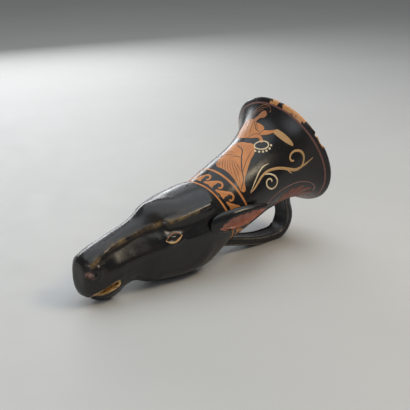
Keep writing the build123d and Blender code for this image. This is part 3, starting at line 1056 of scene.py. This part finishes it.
# draped figure moving towards the rim
figure = {
    "skirt": (
        (-0.6, 20), (6, 19.8), (12, 19.6), (18, 18.8), (24, 17.7), (29.8, 16.8), (31.6, 18.6),
        (25.4, 24), (20.8, 31.4), (16.2, 40.8), (13.6, 48.4), (9, 53), (2, 51.8), (-5.4, 50.2),
        (-8.6, 47.2), (-8.2, 40), (-7, 33), (-5.6, 26.4),
    ),
    "torso": (
        (-8.5, 55.2), (-14.6, 57.2), (-17.4, 61), (-20, 67), (-19.2, 71), (-15.6, 73.6),
        (-11, 73.8), (-7.8, 73), (-2.7, 71.2), (1.2, 70.7), (5.4, 69.9), (7.4, 68.4), (6.6, 65.4),
        (6.4, 63), (3.6, 61), (1.4, 58.6), (0, 57), (-3.4, 55.8),
    ),
    "neckAndFace": (
        (-8, 72.8), (-6.4, 74.9), (-4.8, 76.3), (-3.8, 77.9), (-2.2, 79.5), (0.2, 80.3), (1.9, 79.9),
        (2.6, 79), (3.5, 78), (2.9, 77.5), (2.8, 76.8), (1.9, 75.9), (0.4, 75.4), (-1.2, 75.1),
        (-2.6, 73.7), (-4, 72),
    ),
    "fan": (
        (15.8, 70), (16.2, 72), (17.4, 73), (20.2, 73.5), (25.7, 73.9), (30.7, 74),
        (33.9, 73.6), (35.2, 72.8), (33.2, 71.6), (28.5, 70.1), (23.2, 69.3), (19, 69.2),
    ),
    "arms": (
        (
            (6.6, 62.9), (6.9, 64.9), (7.9, 67.1), (11.1, 68.7), (14.2, 70.5), (16.4, 71.7),
            (16.6, 70.4), (15, 68.4), (12.9, 66), (9.8, 63.8),
        ),
        (
            (-0.2, 57.2), (1, 59.7), (3.3, 61.8), (6.5, 62.5), (9.7, 61.9), (12.4, 60.3),
            (13.4, 58.9), (11.3, 57.6), (8.9, 59.7), (6.7, 59.5), (2.6, 57.3),
        ),
    ),
    "border": (
        (-5.4, 47.4, 0.3), (-1.7, 46.3, 0.6), (4.6, 44, 0.8), (8.8, 38.5, 0.8), (15, 31.5, 0.8),
        (19.7, 27.5, 0.8), (22.9, 25.4, 0.7), (28.4, 17.4, 0.6),
    ),
    "folds": (
        ((-5.4, 26.2), (-2.6, 23.2), (-0.2, 20.1)),
        ((-3.2, 27), (0, 22.8), (1.9, 19.9)),
        ((-1.3, 28.5), (2.2, 23.8), (6, 20.1)),
        ((0.5, 29.6), (5, 23.7), (9.2, 19.9)),
        ((2.5, 30), (7.1, 24.3), (12.2, 20.1)),
        ((3.8, 30.8), (8.6, 25.5), (15.3, 20.3)),
        ((5.8, 30.8), (10.7, 26.4), (17.8, 21.9), (22, 19.6)),
        ((7.1, 31.2), (12.1, 27.7), (17.8, 24.6), (23.6, 20.4)),
        ((8.2, 32.1), (13.1, 29.6), (17.8, 27.7)),
        ((-7.8, 33.2), (-1.1, 35.5), (8.6, 37.5)),
        ((3.2, 30), (3.4, 34.5), (8.8, 37.3)),
        ((-7.4, 36.6), (-3.4, 38.4), (0.4, 38.8)),
        ((10.8, 49.6), (13, 41.4), (17.4, 31.6), (22.6, 23.6)),
    ),
    "foldWidth": 0.36,
    "foldTaper": 0.5,
    "dressLines": (
        ((-8.2, 72.6, 0.3), (-2.6, 69, 0.5), (0.1, 66.2, 0.5), (5.6, 64.2, 0.4)),
        ((-2.8, 70.6, 0.3), (0, 68.4, 0.4), (2.4, 65.6, 0.3)),
        ((6.6, 62.9, 0.4), (6.7, 65, 0.5), (7.7, 67.4, 0.4)),
        ((-0.4, 57.4, 0.4), (1, 59.8, 0.5), (3.4, 62, 0.5), (6.6, 62.8, 0.4)),
        ((-15.4, 72.6, 0.25), (-14.4, 66, 0.35), (-10, 58, 0.25)),
        ((-11.6, 72.8, 0.25), (-9.4, 66, 0.35), (-5, 57.4, 0.25)),
        ((-7, 71.2, 0.25), (-4.6, 65.6, 0.35), (-1.4, 60, 0.25)),
    ),
    "faceLines": (
        ((0.6, 78.8, 0.15), (1.6, 78.9, 0.3), (2.4, 78.5, 0.15)),
        ((0.4, 79.6, 0.12), (1.6, 79.7, 0.22), (2.4, 79.3, 0.12)),
        ((2.6, 76.9, 0.15), (1.8, 76.9, 0.22)),
        ((-3, 74.8, 0.15), (-1.2, 75.2, 0.25), (-0.6, 76.4, 0.15)),
    ),
    "hair": (
        (
            (-15.6, 75, 0.15), (-14.4, 77.6, 0.3), (-11.4, 79.5, 0.32), (-8.2, 81.6, 0.32),
            (-4, 83.3, 0.32), (-0.4, 83.7, 0.32), (3.6, 83, 0.3), (5.2, 81.7, 0.2),
        ),
        (
            (-13, 75.2, 0.12), (-11.6, 77.4, 0.25), (-7.4, 80, 0.25), (-3, 82, 0.25),
            (1.4, 82.6, 0.2),
        ),
        ((-10.6, 75.2, 0.12), (-9, 77.2, 0.25), (-5.8, 79.4, 0.25), (-2, 81.2, 0.2)),
        ((5.2, 81.8, 0.2), (5.4, 80.8, 0.35), (4.2, 80.3, 0.2)),
    ),
}


def foldLines():
    lines = []
    for path in figure["folds"]:
        widths = [figure["foldWidth"]] * len(path)
        widths[0] = widths[-1] = figure["foldWidth"] * figure["foldTaper"]
        lines.append([(*spot, width) for spot, width in zip(path, widths)])
    return lines


paintShapes("figure_dress", [figure["skirt"], figure["torso"]], reservedClay)
paintShapes("figure_face", [figure["neckAndFace"]], dullClay, lift=layer["middle"])
paintShapes("figure_fan", [figure["fan"]], paleClay, lift=layer["middle"])
paintShapes("figure_arms", figure["arms"], reservedClay, lift=layer["arms"])
brushStrokes("figure_hair", figure["hair"], dullClay)
figureLines = [figure["border"], *foldLines(), *figure["dressLines"], *figure["faceLines"]]
brushStrokes("figure_lines", figureLines, lineSlip, lift=layer["over"])

# wreath held below the hand, with beads
wreath = {
    "centre": (14.1, 56.2),
    "half": (5.7, 3.4),
    "turn": 43,
    "width": 0.95,
    "knots": 14,
    "bead": (0.85, 0.85),
    "beadKnots": 8,
    "beads": ((13.5, 49.3), (16.2, 50.8), (18.5, 52.9), (20, 55.4), (20.8, 58.3), (20.2, 61)),
}


def ovalPoints(centre, half, turn, count):
    lean = radians(turn)
    points = []
    for i in range(count):
        u = half[0] * cos(2 * pi * i / count)
        v = half[1] * sin(2 * pi * i / count)
        across = centre[0] + u * cos(lean) - v * sin(lean)
        points.append((across, centre[1] + u * sin(lean) + v * cos(lean)))
    return points


oval = ovalPoints(wreath["centre"], wreath["half"], wreath["turn"], wreath["knots"])
ring = [(*point, wreath["width"]) for point in oval]
beads = [ovalPoints(spot, wreath["bead"], 0, wreath["beadKnots"]) for spot in wreath["beads"]]
brushStrokes("wreath_ring", [ring], addedWhite, lift=layer["over"], closed=True)
paintShapes("wreath_beads", beads, addedWhite, lift=layer["over"])
print("figure painted")

# tendril at each side
tendril = {
    "stem": (
        (35.4, 22.6, 0.5), (34.6, 27.5, 1.4), (33, 33, 1.6), (31.4, 38.6, 1.7), (31.4, 44.6, 1.8),
        (33.8, 50.6, 1.9), (38.4, 56.6, 1.9), (44.2, 61.6, 2), (49.6, 66.4, 2), (52.8, 72.2, 1.6),
        (57, 80, 0.5),
    ),
    "upperCurl": (
        (50.4, 67, 1), (51.8, 70.8, 1.5), (49.8, 74.4, 1.5), (45.2, 75.3, 1.5), (40.4, 73.2, 1.4),
        (37.6, 69.6, 1.4), (38, 66.5, 1.4), (40.6, 65.8, 1.3), (42.8, 67.6, 1),
    ),
    "barb": ((42.4, 60.4, 1.4), (45.4, 60.9, 1), (48.6, 62.2, 0.3)),
    "leafEdge": (
        (34.6, 23.4, 0.3), (30, 33, 0.9), (27.2, 40, 1), (26.6, 45, 0.9), (28, 49.8, 0.3),
    ),
    "lowerCurl": (
        (31.6, 41.6, 0.8), (35, 46.2, 1.2), (40.2, 48.8, 1.2), (44.6, 47.8, 1.2), (45.8, 43.6, 1.2),
        (42.8, 39.6, 1.2), (38.8, 38.8, 1.2), (36.6, 41, 1.1), (37.6, 44, 1.1), (40.2, 44.2, 1.3),
    ),
}
tanStrokes = [tendril["stem"], tendril["upperCurl"], tendril["barb"]]
whiteStrokes = [tendril["leafEdge"], tendril["lowerCurl"]]
for side, sign in sides.items():
    brushStrokes(side + "_tendril", tanStrokes, paleClay, mirrored=sign > 0)
    brushStrokes(side + "_tendril_curl", whiteStrokes, addedWhite, mirrored=sign > 0)

# palmette below the handle, drawn from the line under the bowl
palmette = {
    "leaves": (   # tip of each leaf, all from one root
        (-34, 54.5), (-37.6, 62.5), (-39.6, 70.5), (-38, 77), (-32, 80.6), (-24, 82),
        (-15, 82.6), (-5.5, 82.8),
    ),
    "root": (-3, 38),
    "widths": ((0, 1), (0.45, 4), (0.78, 6), (1, 2.2)),
    "rib": 0.5,
    "ribLift": 0.36,
    "frame": (
        (-27, 20, 0.4), (-33.9, 33, 0.9), (-38.9, 46, 0.9), (-41.4, 57.7, 0.9),
        (-43.2, 64.2, 0.9), (-44.3, 70.5, 0.9), (-43.9, 76.2, 0.9), (-41.5, 79.2, 0.9),
        (-37, 79.9, 0.8), (-32.4, 79.6, 0.4),
    ),
}


def leafStroke(tip, width=None):
    points = []
    for share, broad in palmette["widths"]:
        spot = [a + (b - a) * share for a, b in zip(palmette["root"], tip)]
        points.append((*spot, width or broad))
    return points


leaves = [leafStroke(tip) for tip in palmette["leaves"]]
ribs = [leafStroke(tip, palmette["rib"]) for tip in palmette["leaves"]]
for side, sign in sides.items():
    brushStrokes(side + "_palmette", leaves, palmetteClay, pi, mirrored=sign > 0)
    brushStrokes(side + "_palmette_ribs", ribs, frameClay, pi, palmette["ribLift"], sign > 0)
    brushStrokes(side + "_palmette_frame", [palmette["frame"]], frameClay, pi, mirrored=sign > 0)
print("bowl painted")

# floor and lights
studio = {
    "floor": (0.58, 0.57, 0.555),
    "floorSize": 4,
    "floorPlace": (0, 0.6, 0),
    "floorTone": (6, 3, 0.3, 0.7),
    "floorShade": 0.96,
    "floorRough": (40, 3, 0.3, 0.7, 0.55, 0.65),
    "world": (0.8, 0.82, 0.85),
    "worldStrength": 0.22,
    "lights": {   # place, aim, width and height, power, colour
        "topSoft": ((0.1, 0.15, 0.88), (0, 0, 0.05), (1.5, 1.3), 6.3, (0.86, 0.94, 1)),
        "rimSoft": ((0.25, 0.85, 0.28), (0, 0, 0.06), (0.8, 0.22), 2.8, (0.95, 0.98, 1)),
        "warmTop": ((0.3, -0.46, 0.66), (0, 0, 0.05), (0.44, 0.2), 2.3, (1, 0.86, 0.64)),
        "leftSoft": ((-0.75, -0.25, 0.4), (-0.02, 0, 0.04), (0.4, 0.4), 1, (0.9, 0.95, 1)),
    },
}


def makeStudio():
    bpy.ops.mesh.primitive_plane_add(size=studio["floorSize"], location=studio["floorPlace"])
    floor = bpy.context.object
    floor.name = "floor"
    bpy.ops.object.transform_apply(location=True)
    finish = Finish("paleFloor")
    shaded = tuple(studio["floorShade"] * value for value in studio["floor"])
    tone = finish.mix(finish.patches(*studio["floorTone"]), studio["floor"], shaded)
    floor.data.materials.append(finish.finishWith(tone, finish.patches(*studio["floorRough"])))
    world = bpy.data.worlds.new("studioWorld")
    world.use_nodes = True
    background = world.node_tree.nodes["Background"]
    background.inputs["Color"].default_value = (*studio["world"], 1)
    background.inputs["Strength"].default_value = studio["worldStrength"]
    bpy.context.scene.world = world
    for name, (place, aim, size, power, colour) in studio["lights"].items():
        bpy.ops.object.light_add(type="AREA", location=place)
        lamp = bpy.context.object
        lamp.name = name
        lamp.data.shape = "ELLIPSE"
        lamp.data.size, lamp.data.size_y = size
        lamp.data.energy = power
        lamp.data.color = colour
        aimAlong(lamp, Vector(aim) - Vector(place))
    bpy.context.scene.view_settings.view_transform = "Standard"


makeStudio()
print("studio lit")
